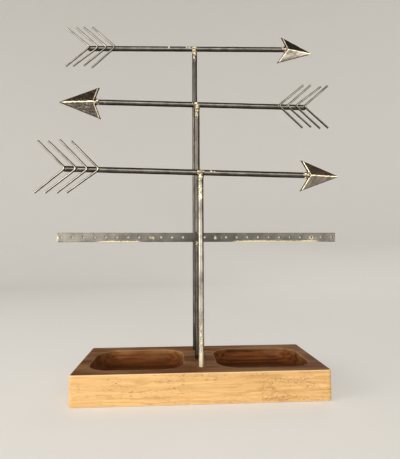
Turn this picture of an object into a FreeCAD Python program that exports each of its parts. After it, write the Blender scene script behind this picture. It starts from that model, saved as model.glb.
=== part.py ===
"""Arrow jewelry stand, in millimetres.

A hardwood block with two scooped trays carries three steel posts in a row from front to back. Each post
ends in a welded arrow, and a drilled earring bar is welded across the middle post. The origin is the
centre of the block's underside, +Z is up and the front faces -Y.
"""
import FreeCAD, Part

import math
import os
from collections import namedtuple

from FreeCAD import Vector

# Hardwood block
base_width = 254.0
base_depth = 114.0
base_height = 30.0
base_corner_radius = 3.0
base_edge_radius = 1.0

# Scooped trays, one on each side of the web that carries the posts
web_width = 35.0
tray_end_margin = 12.0
tray_side_margin = 16.0
tray_depth = 16.0
tray_corner_radius = 24.0
tray_cove_radius = 10.0
tray_rim_radius = 1.5

# Round rod of the posts and the arrow shafts
rod_diameter = 6.0
rod_chamfer = 0.5
cope_share = 0.4

# Row of posts: front margin, spacings, and how far each hole is drilled to the right of the middle line
post_front_margin = 22.5
front_post_spacing = 31.0
rear_post_spacing = 41.0
front_post_shift = 0.0
middle_post_shift = -1.8
rear_post_shift = -2.1

# Fixing of the posts in the block: socket, threaded stud, washer and nut
socket_depth = 10.0
socket_clearance = 0.1
stud_diameter = 4.0
stud_clearance = 0.2
stud_tail = 1.0
stud_recess = 2.0
washer_diameter = 9.0
washer_thickness = 0.8
nut_across_flats = 7.0
nut_height = 3.2
thread_clearance = 0.05
wrench_room = 1.5

# Front arrow: shaft height, reaches from the post's axis, head sizes and hand-set angles
front_height = 229.7
front_tail_reach = 139.7
front_tip_reach = 148.0
front_vane_pitch = 11.4
front_vane_arm_length = 37.5
front_head_length = 40.0
front_head_width = 34.0
front_notch_depth = 8.3
front_tilt_deg = 1.0
front_head_turn_deg = 1.9

# Middle arrow
middle_height = 314.5
middle_tail_reach = 124.8
middle_tip_reach = 153.6
middle_vane_pitch = 9.9
middle_vane_arm_length = 34.7
middle_head_length = 44.0
middle_head_width = 36.7
middle_notch_depth = 5.5
middle_tilt_deg = 0.3
middle_head_turn_deg = -3.2

# Top arrow
top_height = 402.0
top_tail_reach = 130.2
top_tip_reach = 150.0
top_vane_pitch = 10.3
top_vane_arm_length = 34.6
top_head_length = 41.0
top_head_width = 34.7
top_notch_depth = 9.0
top_tilt_deg = -1.4
top_head_turn_deg = 11.4

# Folded sheet of the arrowheads
sheet_thickness = 1.5
fold_deg = 20.0
fold_radius = 0.8
notch_room = 1.4

# Bent wire of the vanes
vane_count = 4
wire_diameter = 2.2
vane_deg = 42.0
vane_bend_radius = 2.5
vane_stand_off = 0.1
tail_overhang = 1.5

# Earring bar
bar_height = 162.7
bar_width = 10.0
bar_thickness = 2.5
bar_edge_radius = 0.4
bar_end_margin = 4.0
bar_seat_depth = 0.4
hole_count = 26
hole_pitch = 12.0
hole_diameter = 2.5

# Weld metal
collar_height = 4.5
collar_width = 1.5
collar_lip = 0.3
run_lump_radius = 2.3
run_step = 2.4
run_taper_share = 0.1
run_sink_share = 0.75
front_run_lumps = 3
middle_run_lumps = 5
top_run_lumps = 5
head_lump_radius = 4.4
vane_bead_foot_radius = 2.4
vane_bead_top_radius = 1.5
vane_bead_wrap_share = 0.5
bar_lump_radius = 2.6
bar_run_lumps = 3

# Margins of the modelling itself
overrun = 1.0
same_place = 0.001

UP = Vector(0, 0, 1)
RIGHT = Vector(1, 0, 0)
BACK = Vector(0, 1, 0)

rod_radius = rod_diameter / 2
wire_radius = wire_diameter / 2
tray_width = (base_width - web_width) / 2 - tray_end_margin
tray_length = base_depth - 2 * tray_side_margin
tray_centre = (web_width + tray_width) / 2
shoulder_height = base_height - socket_depth
stud_end_height = stud_recess
nut_base_height = stud_end_height + stud_tail
washer_base_height = nut_base_height + nut_height
counterbore_depth = washer_base_height + washer_thickness
bar_length = (hole_count - 1) * hole_pitch + 2 * bar_end_margin
front_post_y = post_front_margin - base_depth / 2
middle_post_y = front_post_y + front_post_spacing
rear_post_y = middle_post_y + rear_post_spacing
bar_back = middle_post_y + bar_seat_depth - rod_radius

# Where an arrow stands and how it is made; side is +1 with the head on the right, -1 on the left
Arrow = namedtuple("Arrow", "name post x y height side tail_reach tip_reach vane_pitch vane_arm "
                            "head_length head_width notch_depth tilt turn run_lumps")

ARROWS = (
    Arrow("front_arrow", "front_post", front_post_shift, front_post_y, front_height, 1,
          front_tail_reach, front_tip_reach, front_vane_pitch, front_vane_arm_length,
          front_head_length, front_head_width, front_notch_depth,
          front_tilt_deg, front_head_turn_deg, front_run_lumps),
    Arrow("middle_arrow", "middle_post", middle_post_shift, middle_post_y, middle_height, -1,
          middle_tail_reach, middle_tip_reach, middle_vane_pitch, middle_vane_arm_length,
          middle_head_length, middle_head_width, middle_notch_depth,
          middle_tilt_deg, middle_head_turn_deg, middle_run_lumps),
    Arrow("top_arrow", "rear_post", rear_post_shift, rear_post_y, top_height, 1,
          top_tail_reach, top_tip_reach, top_vane_pitch, top_vane_arm_length,
          top_head_length, top_head_width, top_notch_depth,
          top_tilt_deg, top_head_turn_deg, top_run_lumps),
)


def is_level(edge, height):
    """Whether an edge lies flat at a height."""
    box = edge.BoundBox
    return abs(box.ZMin - height) < same_place and abs(box.ZMax - height) < same_place


def is_upright(edge):
    """Whether an edge is a vertical line."""
    box = edge.BoundBox
    return box.XLength < same_place and box.YLength < same_place


def rounded_block(width, depth, height, radius, corner):
    """Block from its low corner, with its four upright edges rounded."""
    block = Part.makeBox(width, depth, height, corner)
    return block.makeFillet(radius, [edge for edge in block.Edges if is_upright(edge)])


def tray_cutter(side):
    """Scoop of one tray: a rounded outline whose floor curves up into its walls."""
    floor = base_height - tray_depth
    corner_radius = min(tray_corner_radius, tray_length / 2 - overrun, tray_width / 2 - overrun)
    cove_radius = min(tray_cove_radius, tray_depth - 2 * tray_rim_radius, corner_radius - overrun)
    corner = Vector(side * tray_centre - tray_width / 2, -tray_length / 2, floor)
    scoop = rounded_block(tray_width, tray_length, tray_depth + overrun, corner_radius, corner)
    return scoop.makeFillet(cove_radius, [edge for edge in scoop.Edges if is_level(edge, floor)])


def in_tray_zone(edge):
    """Whether an edge lies inside the block's outline, as a tray's rim does."""
    box = edge.BoundBox
    reach_x = max(abs(box.XMin), abs(box.XMax))
    reach_y = max(abs(box.YMin), abs(box.YMax))
    return reach_x < base_width / 2 - tray_end_margin / 2 and reach_y < base_depth / 2 - tray_side_margin / 2


def wood_base():
    """Block with eased edges, two trays, and a socket, stud hole and counterbore for each post."""
    corner = Vector(-base_width / 2, -base_depth / 2, 0)
    block = rounded_block(base_width, base_depth, base_height, base_corner_radius, corner)
    outer = [edge for edge in block.Edges if is_level(edge, 0) or is_level(edge, base_height)]
    block = block.makeFillet(base_edge_radius, outer)
    for side in (-1, 1):
        block = block.cut(tray_cutter(side))
    rims = [edge for edge in block.Edges if is_level(edge, base_height) and in_tray_zone(edge)]
    block = block.makeFillet(tray_rim_radius, rims)
    for arrow in ARROWS:
        foot = Vector(arrow.x, arrow.y, 0)
        socket = Part.makeCylinder(rod_radius + socket_clearance, socket_depth + overrun,
                                   foot + UP * shoulder_height, UP)
        stud_hole = Part.makeCylinder(stud_diameter / 2 + stud_clearance, base_height, foot, UP)
        counterbore = Part.makeCylinder(washer_diameter / 2 + wrench_room, counterbore_depth + overrun,
                                        foot - UP * overrun, UP)
        block = block.cut(socket).cut(stud_hole).cut(counterbore)
    return block


def ring(outer_radius, bore_radius, height, base):
    """Flat upright ring."""
    disc = Part.makeCylinder(outer_radius, height, base, UP)
    return disc.cut(Part.makeCylinder(bore_radius, height, base, UP))


def post_washers():
    """Washer against the counterbore's ceiling under each post."""
    bore_radius = stud_diameter / 2 + stud_clearance
    places = [Vector(arrow.x, arrow.y, washer_base_height) for arrow in ARROWS]
    return Part.makeCompound([ring(washer_diameter / 2, bore_radius, washer_thickness, at) for at in places])


def hex_nut(base):
    """Hex nut, flat on its base, with a plain bore."""
    circle_radius = nut_across_flats / math.sqrt(3)
    sides = 6
    corners = [base + Vector(circle_radius * math.cos(math.tau * k / sides),
                             circle_radius * math.sin(math.tau * k / sides), 0) for k in range(sides)]
    prism = Part.Face(Part.makePolygon(corners + corners[:1])).extrude(UP * nut_height)
    return prism.cut(Part.makeCylinder(stud_diameter / 2 + thread_clearance, nut_height, base, UP))


def post_nuts():
    """Nut under each washer."""
    return Part.makeCompound([hex_nut(Vector(arrow.x, arrow.y, nut_base_height)) for arrow in ARROWS])


def tilted(shape, arrow):
    """Turn a level arrow's piece to the angle that the arrow was welded at."""
    shape.rotate(Vector(arrow.x, arrow.y, arrow.height), BACK, arrow.tilt)
    return shape


def notch_reach(arrow):
    """Distance from the post's axis to the apex of the head's notch."""
    return arrow.tip_reach - arrow.head_length + arrow.notch_depth


def shaft_reach(arrow):
    """Distance from the post's axis to the shaft's end, which stands clear of the notch's two sides."""
    return notch_reach(arrow) - (rod_radius + notch_room) * arrow.notch_depth * 2 / arrow.head_width


def shaft_end(arrow):
    """Centre of the shaft's head end before the arrow is tilted."""
    return Vector(arrow.x + arrow.side * shaft_reach(arrow), arrow.y, arrow.height)


def arrow_shaft(arrow):
    """Rod from the tail's last vane to the head's notch, with broken edges at both ends."""
    length = arrow.tail_reach + tail_overhang + shaft_reach(arrow)
    start = Vector(arrow.x - arrow.side * (arrow.tail_reach + tail_overhang), arrow.y, arrow.height)
    rod = Part.makeCylinder(rod_radius, length, start, RIGHT * arrow.side)
    ends = [edge for edge in rod.Edges if edge.BoundBox.XLength < same_place]
    return tilted(rod.makeChamfer(rod_chamfer, ends), arrow)


def post(arrow, shaft):
    """Rod from its shoulder in the socket up to the shaft, coped to it, with a stud below."""
    foot = Vector(arrow.x, arrow.y, 0)
    top = arrow.height - rod_radius * (1 - cope_share)
    rod = Part.makeCylinder(rod_radius, top - shoulder_height, foot + UP * shoulder_height, UP)
    stud = Part.makeCylinder(stud_diameter / 2, shoulder_height - stud_end_height,
                             foot + UP * stud_end_height, UP)
    return rod.fuse(stud).removeSplitter().cut(shaft)


def fold_lines(sheet, height):
    """Edges along the fold at a height, the front one first."""
    lines = [edge for edge in sheet.Edges if edge.BoundBox.YLength < same_place and is_level(edge, height)]
    return sorted(lines, key=lambda edge: edge.BoundBox.YMin)


def arrow_head(arrow):
    """Sheet folded along the arrow's axis, cut to a swept triangle with a notch at its back."""
    slope = math.tan(math.radians(fold_deg))
    half = arrow.head_width / 2
    wall = sheet_thickness / math.cos(math.radians(fold_deg))
    ridge = -half * slope / 2
    back = ridge + half * slope
    section = [(ridge, 0), (back, half), (back + wall, half), (ridge + wall, 0),
               (back + wall, -half), (back, -half)]
    heel = arrow.x + arrow.side * (arrow.tip_reach - arrow.head_length)
    points = [Vector(heel, arrow.y + y, arrow.height + z) for y, z in section]
    sheet = Part.Face(Part.makePolygon(points + points[:1])).extrude(RIGHT * arrow.side * arrow.head_length)
    sheet = sheet.makeFillet(fold_radius, fold_lines(sheet, arrow.height)[-1:])
    sheet = sheet.makeFillet(fold_radius + sheet_thickness, fold_lines(sheet, arrow.height)[:1])
    front = arrow.y + ridge - overrun
    outline = [(arrow.tip_reach, 0), (arrow.tip_reach - arrow.head_length, half), (notch_reach(arrow), 0),
               (arrow.tip_reach - arrow.head_length, -half)]
    corners = [Vector(arrow.x + arrow.side * reach, front, arrow.height + z) for reach, z in outline]
    depth = half * slope + wall + 2 * overrun
    blank = Part.Face(Part.makePolygon(corners + corners[:1])).extrude(BACK * depth)
    head = sheet.common(blank).Solids[0]
    head.rotate(shaft_end(arrow), BACK, arrow.turn)
    return tilted(head, arrow)


def vane_apex(arrow, number):
    """Place of a vane's bend on the front of the shaft; number 0 is the outermost vane."""
    reach = arrow.tail_reach - number * arrow.vane_pitch
    y = arrow.y - rod_radius - vane_stand_off - wire_radius
    return Vector(arrow.x - arrow.side * reach, y, arrow.height)


def vane(arrow, number):
    """Wire bent to a V that opens towards the tail."""
    angle = math.radians(vane_deg)
    outward = -arrow.side
    apex = vane_apex(arrow, number)
    centre = apex + RIGHT * outward * vane_bend_radius
    ends, tangents = [], []
    for up in (1, -1):
        tangent = centre + Vector(-outward * math.sin(angle), 0, up * math.cos(angle)) * vane_bend_radius
        ends.append(tangent + Vector(outward * math.cos(angle), 0, up * math.sin(angle)) * arrow.vane_arm)
        tangents.append(tangent)
    path = Part.Wire([Part.LineSegment(ends[0], tangents[0]).toShape(),
                      Part.Arc(tangents[0], apex, tangents[1]).toShape(),
                      Part.LineSegment(tangents[1], ends[1]).toShape()])
    profile = Part.Wire([Part.makeCircle(wire_radius, ends[0], tangents[0] - ends[0])])
    return tilted(path.makePipeShell([profile], True, False), arrow)


def lump(centre, radius):
    """Round blob of weld metal."""
    return Part.makeSphere(radius, centre)


def bead_run(x, y, height, radius, count, direction):
    """Blobs one above the other on a post's front, shrinking along the run."""
    blobs = []
    for k in range(count):
        centre = Vector(x, y, height + direction * k * run_step)
        blobs.append(lump(centre, radius * (1 - k * run_taper_share)))
    return blobs


def weld(blobs, pieces):
    """Weld metal: joined blobs, less the pieces that they hold together."""
    metal = blobs[0]
    for blob in blobs[1:]:
        metal = metal.fuse(blob)
    for piece in pieces:
        metal = metal.cut(piece)
    return metal


def post_weld(arrow, post_rod, shaft):
    """Collar under the shaft with a lumpy run down the front of the post."""
    under = arrow.height - rod_radius
    top = arrow.height - rod_radius * cope_share
    collar = Part.makeCone(rod_radius + collar_lip, rod_radius + collar_width, collar_height + top - under,
                           Vector(arrow.x, arrow.y, under - collar_height), UP)
    front = arrow.y - rod_radius * run_sink_share
    blobs = [collar] + bead_run(arrow.x, front, under, run_lump_radius, arrow.run_lumps, -1)
    return weld(blobs, [post_rod, shaft])


def head_weld(arrow, shaft, head):
    """Blob that holds the shaft's end in the head's notch."""
    return weld([tilted(lump(shaft_end(arrow), head_lump_radius), arrow)], [shaft, head])


def vane_bead(arrow, number):
    """Tapered bead from the middle of the shaft out to the back of a vane's wire."""
    wrap = wire_radius * vane_bead_wrap_share
    length = rod_radius + vane_stand_off + wrap
    foot = vane_apex(arrow, number) + BACK * (length + wire_radius - wrap)
    return tilted(Part.makeCone(vane_bead_foot_radius, vane_bead_top_radius, length, foot, -BACK), arrow)


def vane_welds(arrow, shaft, vanes):
    """Bead between the shaft and each vane's bend."""
    beads = [weld([vane_bead(arrow, number)], [shaft, wire]) for number, wire in enumerate(vanes)]
    return Part.makeCompound([solid for bead in beads for solid in bead.Solids])


def earring_bar():
    """Drilled strip with eased long edges, its back let into the front of the middle post."""
    corner = Vector(-bar_length / 2, bar_back - bar_thickness, bar_height - bar_width / 2)
    strip = Part.makeBox(bar_length, bar_thickness, bar_width, corner)
    face_edges = [edge for edge in strip.Edges if edge.BoundBox.YLength < same_place]
    strip = strip.makeFillet(bar_edge_radius, face_edges)
    for k in range(hole_count):
        x = (k - (hole_count - 1) / 2) * hole_pitch
        mouth = Vector(x, bar_back - bar_thickness - overrun, bar_height)
        strip = strip.cut(Part.makeCylinder(hole_diameter / 2, bar_thickness + 2 * overrun, mouth, BACK))
    return strip


def earring_bar_weld(bar, post_rod):
    """Blob over the bar and a run under it, on the front of the middle post."""
    front = bar_back - bar_thickness / 2
    over = bead_run(middle_post_shift, front, bar_height + bar_width / 2, bar_lump_radius, 1, 1)
    under = bead_run(middle_post_shift, front, bar_height - bar_width / 2, bar_lump_radius, bar_run_lumps, -1)
    beads = [weld(blobs, [bar, post_rod]) for blobs in (over, under)]
    return Part.makeCompound([solid for bead in beads for solid in bead.Solids])


def build():
    """All pieces by node name."""
    nodes = {"wood_base": wood_base(), "post_washers": post_washers(), "post_nuts": post_nuts(),
             "earring_bar": earring_bar()}
    for arrow in ARROWS:
        shaft = arrow_shaft(arrow)
        head = arrow_head(arrow)
        rod = post(arrow, shaft)
        if arrow.post == "middle_post":
            rod = rod.cut(nodes["earring_bar"])
            nodes["earring_bar_weld"] = earring_bar_weld(nodes["earring_bar"], rod)
        vanes = [vane(arrow, number) for number in range(vane_count)]
        nodes[arrow.post] = rod
        nodes[arrow.name + "_shaft"] = shaft
        nodes[arrow.name + "_head"] = head
        for number, wire in enumerate(vanes):
            nodes[f"{arrow.name}_vane_{number + 1}"] = wire
        nodes[arrow.name + "_post_weld"] = post_weld(arrow, rod, shaft)
        nodes[arrow.name + "_head_weld"] = head_weld(arrow, shaft, head)
        nodes[arrow.name + "_vane_welds"] = vane_welds(arrow, shaft, vanes)
    return nodes


os.makedirs("parts", exist_ok=True)
for name, shape in build().items():
    print(name, len(shape.Solids), "solids, valid", shape.isValid(), "volume", round(shape.Volume, 1))
    shape.exportStep(os.path.join("parts", name + ".step"))
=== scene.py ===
"""Looks of the arrow jewelry stand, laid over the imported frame.

Shapes are worked out in millimetres, in the frame of the solids: X to the right, Y to the back, Z up, with
the origin under the middle of the block. They go into the meshes in metres.
"""

import logging
import math
from dataclasses import dataclass
from enum import Enum

import bmesh
import bpy
import numpy as np
from mathutils import Matrix, Vector


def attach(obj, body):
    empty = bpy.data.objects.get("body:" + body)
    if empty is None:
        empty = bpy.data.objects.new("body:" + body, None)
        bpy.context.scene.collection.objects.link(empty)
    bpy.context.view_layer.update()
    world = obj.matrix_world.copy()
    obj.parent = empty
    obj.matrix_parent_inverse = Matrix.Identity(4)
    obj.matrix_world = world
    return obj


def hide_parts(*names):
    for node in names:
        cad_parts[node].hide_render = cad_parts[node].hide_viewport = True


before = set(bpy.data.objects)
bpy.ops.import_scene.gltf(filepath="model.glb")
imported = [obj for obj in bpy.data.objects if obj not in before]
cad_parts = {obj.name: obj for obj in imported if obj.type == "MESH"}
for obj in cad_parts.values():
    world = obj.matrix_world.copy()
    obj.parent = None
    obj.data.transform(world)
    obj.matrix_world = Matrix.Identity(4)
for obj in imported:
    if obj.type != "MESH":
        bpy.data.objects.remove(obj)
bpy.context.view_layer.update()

Array = np.ndarray
Colour = tuple[float, float, float]
Triple = tuple[float, float, float]
Pair = tuple[float, float]
Socket = bpy.types.NodeSocket

LOG = logging.getLogger("jewelry_stand")
MM = 0.001
FULL_TURN = math.tau
BACK = np.array((0.0, 1.0, 0.0))
JOIN_MM = 0.002
SHARP_DEG = 38.0
BODY = "root"
BEAD_ROWS = 19
BEAD_TURNS = 28


class Slot(Enum):
    """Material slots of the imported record."""

    WOOD = "wood"
    IRON = "blackened_iron"
    SHEET = "worn_sheet"
    STRIP = "gunmetal_strip"
    WELD = "weld_metal"
    ZINC = "zinc_fastener"


class Side(Enum):
    """Which way an arrow points, seen from the front."""

    RIGHT = 1
    LEFT = -1


@dataclass(frozen=True)
class Ripple:
    """Smooth unevenness of hammered, welded or carved stuff.

    Attributes:
        length: Usual distance between two crests, in millimetres.
        seed: Start of the random draws.
        waves: How many plain waves are added up.
    """

    length: float
    seed: int
    waves: int = 9

    def at(self, points: Array) -> Array:
        """Sum of sine waves with drawn directions, lengths and phases, scaled to about one.

        Args:
            points: Places in millimetres, three numbers in the last axis.

        Returns:
            One number for each place.
        """
        draw = np.random.default_rng(self.seed)
        heading = draw.normal(size=(3, self.waves))
        heading /= np.linalg.norm(heading, axis=0)
        lengths = self.length * draw.uniform(0.6, 1.7, self.waves)
        phases = draw.uniform(0.0, FULL_TURN, self.waves)
        return np.sin(points @ (heading * FULL_TURN / lengths) + phases).sum(-1) / math.sqrt(self.waves)


@dataclass(frozen=True)
class Lumps:
    """Unevenness of a kind of weld metal: its size in millimetres, its depth as a share of the blob."""

    length: float
    depth: float


@dataclass(frozen=True)
class Rub:
    """One stretch of a bar, as a bell curve: rubbed through to brassy metal, burnt dark, or painted with
    shade.
    """

    place: float
    spread: float
    strength: float


def unit(values: Array) -> Array:
    """Holds values between 0 and 1."""
    return np.clip(values, 0.0, 1.0)


def bell(distance: Array, width: Array | float) -> Array:
    """Bell curve: 1 in the middle, about a third at the width."""
    return np.exp(-(distance / width) ** 2)


def fade(distance: Array, width: float) -> Array:
    """Smooth fall from 1 to 0 across zero, within a few widths."""
    return 1.0 / (1.0 + np.exp(distance / width))


def at_least(share: Array, least: float) -> Array:
    """Lifts a share of 0 to 1 so that it runs from a least value to 1."""
    return least + (1.0 - least) * share


def circle(turns: int) -> Array:
    """Angles in equal steps round a full circle."""
    return np.linspace(0.0, FULL_TURN, turns, endpoint=False)


def rubbed(place: Array, marks: tuple[Rub, ...]) -> Array:
    """Adds up a bell curve for each marked stretch.

    Args:
        place: Distances along the bar.
        marks: The marked stretches: rubbed, burnt or painted with shade.

    Returns:
        How strong the marks are at each distance.
    """
    centre, spread, strength = np.array([(m.place, m.spread, m.strength) for m in marks]).T
    return (strength * bell(place[..., None] - centre, spread)).sum(-1)


def turned(points: Array, pivot: Array, degrees: float) -> Array:
    """Turns points about the line along Y through a pivot, by the plane rotation of X and Z.

    Args:
        points: Places, three numbers in the last axis.
        pivot: A place on the line.
        degrees: Angle; a positive one takes +X downwards.

    Returns:
        The turned places.
    """
    cosine, sine = math.cos(math.radians(degrees)), math.sin(math.radians(degrees))
    away = points - pivot
    x = away[..., 0] * cosine + away[..., 2] * sine
    z = away[..., 2] * cosine - away[..., 0] * sine
    return pivot + np.stack([x, away[..., 1], z], axis=-1)


class Shell:
    """Patches of one piece, with the values that its finish reads at each point."""

    def __init__(self, *channels: str) -> None:
        """Starts an empty shell whose points carry the named channels."""
        self.points: list[Array] = []
        self.faces: list[Array] = []
        self.values: dict[str, list[Array]] = {channel: [] for channel in channels}
        self.count = 0

    def add_grid(self, points: Array, wrap: bool = False, **values: Array | float) -> None:
        """Adds a patch of four-sided faces over a grid of points.

        Args:
            points: Rows by columns by three, in millimetres.
            wrap: Whether the last column joins the first.
            **values: For a channel, one number or one for each point.
        """
        rows, columns = points.shape[:2]
        index = np.arange(rows * columns).reshape(rows, columns) + self.count
        if wrap:
            index = np.concatenate([index, index[:, :1]], axis=1)
        quads = np.stack([index[:-1, :-1], index[:-1, 1:], index[1:, 1:], index[1:, :-1]], axis=-1)
        self.points.append(points.reshape(-1, 3))
        self.faces.append(quads.reshape(-1, 4))
        for channel, kept in self.values.items():
            kept.append(np.broadcast_to(values.get(channel, 0.0), (rows, columns)).reshape(-1))
        self.count += rows * columns

    def build(self, name: str, cap_openings: bool = False) -> bpy.types.Object:
        """Makes the object: points merged where patches meet, openings capped flat, faces outwards.

        Args:
            name: Name of the piece.
            cap_openings: Whether the loops that are left open lie in one plane and get a flat face.

        Returns:
            The object, linked to the scene.
        """
        mesh = bpy.data.meshes.new(name)
        mesh.from_pydata((np.concatenate(self.points) * MM).tolist(), [], np.concatenate(self.faces).tolist())
        for channel, kept in self.values.items():
            layer = mesh.attributes.new(channel, "FLOAT", "POINT")
            layer.data.foreach_set("value", np.concatenate(kept).astype(np.float32))
        skin = bmesh.new()
        skin.from_mesh(mesh)
        bmesh.ops.remove_doubles(skin, verts=skin.verts, dist=JOIN_MM * MM)
        if cap_openings:
            rim = [edge for edge in skin.edges if edge.is_boundary]
            bmesh.ops.triangle_fill(skin, use_beauty=True, edges=rim)
        bmesh.ops.recalc_face_normals(skin, faces=skin.faces)
        skin.to_mesh(mesh)
        skin.free()
        mesh.polygons.foreach_set("use_smooth", np.ones(len(mesh.polygons), dtype=bool))
        mesh.set_sharp_from_angle(angle=math.radians(SHARP_DEG))
        piece = bpy.data.objects.new(name, mesh)
        bpy.context.scene.collection.objects.link(piece)
        return piece


def finish_piece(piece: bpy.types.Object, slot: Slot, material: bpy.types.Material, *nodes: str) -> None:
    """Gives a piece its finish and its place in the frame.

    Args:
        piece: The piece's object.
        slot: Slot of the record that the finish belongs to; not used.
        material: Finish of the whole piece.
        *nodes: CAD nodes that the piece stands for.
    """
    piece.data.materials.append(material)
    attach(piece, BODY)
    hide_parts(*nodes)
    LOG.info("%s: %d faces, for %s", piece.name, len(piece.data.polygons), ", ".join(nodes))


def ease_edges(piece: bpy.types.Object, width: float, segments: int) -> None:
    """Adds a Bevel modifier that rounds the sharp edges.

    Args:
        piece: The piece's object.
        width: Width of the rounding in millimetres.
        segments: Faces across the rounding.
    """
    bevel = piece.modifiers.new("eased_edges", "BEVEL")
    bevel.width = width * MM
    bevel.segments = segments
    bevel.limit_method = "ANGLE"
    bevel.angle_limit = math.radians(SHARP_DEG)
    bevel.harden_normals = True


def bar_stations(length: float, radius: float, chamfer: float, step: float) -> tuple[Array, Array]:
    """Cuts a round bar into stations: each end's middle, its flat face, its broken edge, then the full bar.

    Args:
        length: Length of the bar.
        radius: Radius of the bar.
        chamfer: Width of the broken edge at both ends.
        step: Longest distance between two stations of the full bar.

    Returns:
        Distances from the start, and the radius at each.
    """
    full = np.linspace(chamfer, length - chamfer, int((length - 2 * chamfer) / step) + 2)
    place = np.concatenate([(0.0, 0.0), full, (length, length)])
    reach = np.concatenate([(0.0, radius - chamfer), np.full(len(full), radius), (radius - chamfer, 0.0)])
    return place, reach


def round_bar(path: Array, tangent: Array, reach: Array, turns: int, dents: Ripple, depth: float) -> Array:
    """Carries a circle along a path that lies square to Y.

    The circle's two directions are Y and the tangent crossed with Y. Its radius is the station's own, plus
    the depth times the dents at that place.

    Args:
        path: Centres, one row for each station.
        tangent: Unit directions of the path.
        reach: Radius at each station.
        turns: Points round the circle; a quarter of the way round faces the back.
        dents: Unevenness of the skin.
        depth: Size of the unevenness.

    Returns:
        Stations by turns by three.
    """
    across = np.cross(tangent, BACK)
    angle = circle(turns)
    spoke = np.cos(angle)[:, None] * across[:, None, :] + np.sin(angle)[:, None] * BACK
    skin = path[:, None, :] + reach[:, None, None] * spoke
    lift = depth * dents.at(skin) * np.sign(reach)[:, None]
    return skin + lift[..., None] * spoke


def front_share(turns: int, lean: Array | float = 0.0) -> Array:
    """How far each point round a bar faces the front, leaned by some degrees to one side, from 0 to 1."""
    angle = circle(turns) + np.radians(lean)
    return unit(-np.sin(angle))


def turned_profile(radii: Array, heights: Array, x: float, y: float, turns: int) -> Array:
    """Carries a profile of radii and heights round an upright axis.

    Args:
        radii: Distance from the axis at each row, or one for each row and turn.
        heights: Height of each row.
        x: Place of the axis to the right.
        y: Place of the axis to the back.
        turns: Points round the axis.

    Returns:
        Rows by turns by three.
    """
    angle = circle(turns)
    radii = np.broadcast_to(radii if radii.ndim == 2 else radii[:, None], (len(heights), turns))
    across, deep = x + radii * np.cos(angle), y + radii * np.sin(angle)
    return np.stack([across, deep, np.broadcast_to(heights[:, None], radii.shape)], axis=-1)


def bead(centre: Array, radii: Triple, lumps: Lumps, seed: int) -> tuple[Array, Array]:
    """Lumpy blob: an ellipsoid over latitude and longitude, each point pushed out by the lumps there.

    Args:
        centre: Middle of the blob.
        radii: Its three half sizes.
        lumps: Unevenness of its skin.
        seed: Start of the random draws.

    Returns:
        The grid of points, and the height of the lumps at each, from 0 to 1.
    """
    latitude = np.linspace(-math.pi / 2, math.pi / 2, BEAD_ROWS)[:, None]
    longitude = circle(BEAD_TURNS)
    level = np.cos(latitude) * np.ones(BEAD_TURNS)
    rise = np.sin(latitude) * np.ones(BEAD_TURNS)
    ball = np.stack([level * np.cos(longitude), level * np.sin(longitude), rise], axis=-1)
    height = Ripple(lumps.length, seed).at(centre + ball * np.array(radii))
    height[[0, -1]] = height[[0, -1]].mean(axis=1, keepdims=True)
    skin = centre + ball * np.array(radii) * (1.0 + lumps.depth * height)[..., None]
    return skin, unit(0.5 + 0.5 * height)


def rounded_loop(centre: Array, half: Array, radii: Array, arc: int, run: int) -> Array:
    """Closed loop of a rectangle with rounded corners.

    Each corner is an arc about a point that is set in from the corner by its radius. Each side is the
    straight run from one arc to the next, in equal steps.

    Args:
        centre: Middle of the rectangle.
        half: Its half width and half depth.
        radii: Radius of the corners ++, -+, -- and +-.
        arc: Points on each corner.
        run: Points on each side between its corners.

    Returns:
        Four times (arc + run) points of two numbers.
    """
    signs = np.array([(1, 1), (-1, 1), (-1, -1), (1, -1)])
    angle = np.linspace(0.0, math.pi / 2, arc) + math.pi / 2 * np.arange(4)[:, None]
    middle = centre + signs * (half - radii[:, None])
    arcs = middle[:, None] + radii[:, None, None] * np.stack([np.cos(angle), np.sin(angle)], axis=-1)
    share = np.linspace(0.0, 1.0, run + 2)[1:-1, None]
    runs = arcs[:, -1:] + (np.roll(arcs[:, 0], -1, axis=0) - arcs[:, -1])[:, None] * share
    return np.concatenate([arcs, runs], axis=1).reshape(-1, 2)


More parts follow.
